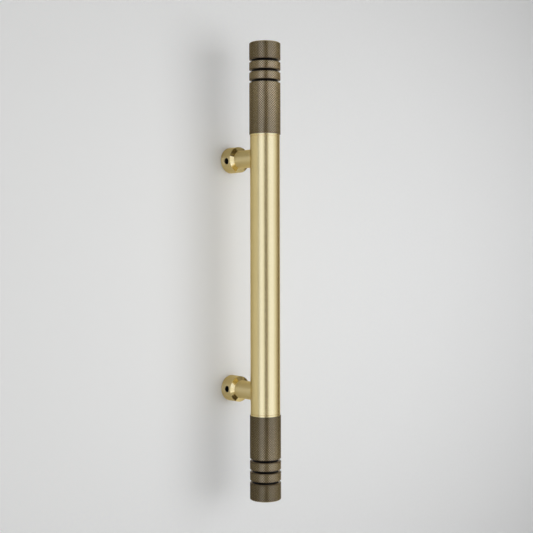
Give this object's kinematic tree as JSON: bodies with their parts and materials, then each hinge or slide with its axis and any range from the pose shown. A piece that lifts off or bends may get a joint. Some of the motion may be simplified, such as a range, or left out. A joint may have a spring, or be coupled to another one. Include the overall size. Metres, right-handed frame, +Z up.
{
  "type": "door pull handle",
  "caption": "Round bar door pull with a satin brass grip, knurled antique brass ends with turned grooves, and turned posts that hide their fixing screws.",
  "frame": {"origin": "on the door face, midway between the two fixing screws", "axes": "+Z up along the bar, +Y into the door, X along the door face"},
  "size_m": [0.0314, 0.0697, 0.4595],
  "materials": {
    "satin_brass": "fine brushed satin, lacquered",
    "antique_brass": "knurled, dark aged patina with the crests rubbed lighter",
    "plated_steel": "plain zinc plate",
    "black_steel": "black oxide"
  },
  "bodies": {
    "root": {"grip_tube": "satin_brass", "upper_spacer_ring": "satin_brass", "lower_spacer_ring": "satin_brass", "upper_knurled_end": "antique_brass", "lower_knurled_end": "antique_brass", "upper_end_stud": "plated_steel", "lower_end_stud": "plated_steel", "upper_tube_plug": "plated_steel", "lower_tube_plug": "plated_steel", "upper_saddle_collar": "satin_brass", "lower_saddle_collar": "satin_brass", "upper_post": "satin_brass", "lower_post": "satin_brass", "upper_post_stud": "plated_steel", "lower_post_stud": "plated_steel", "upper_mounting_boss": "plated_steel", "lower_mounting_boss": "plated_steel", "upper_grub_screw": "black_steel", "lower_grub_screw": "black_steel"}
  },
  "joints": []
}
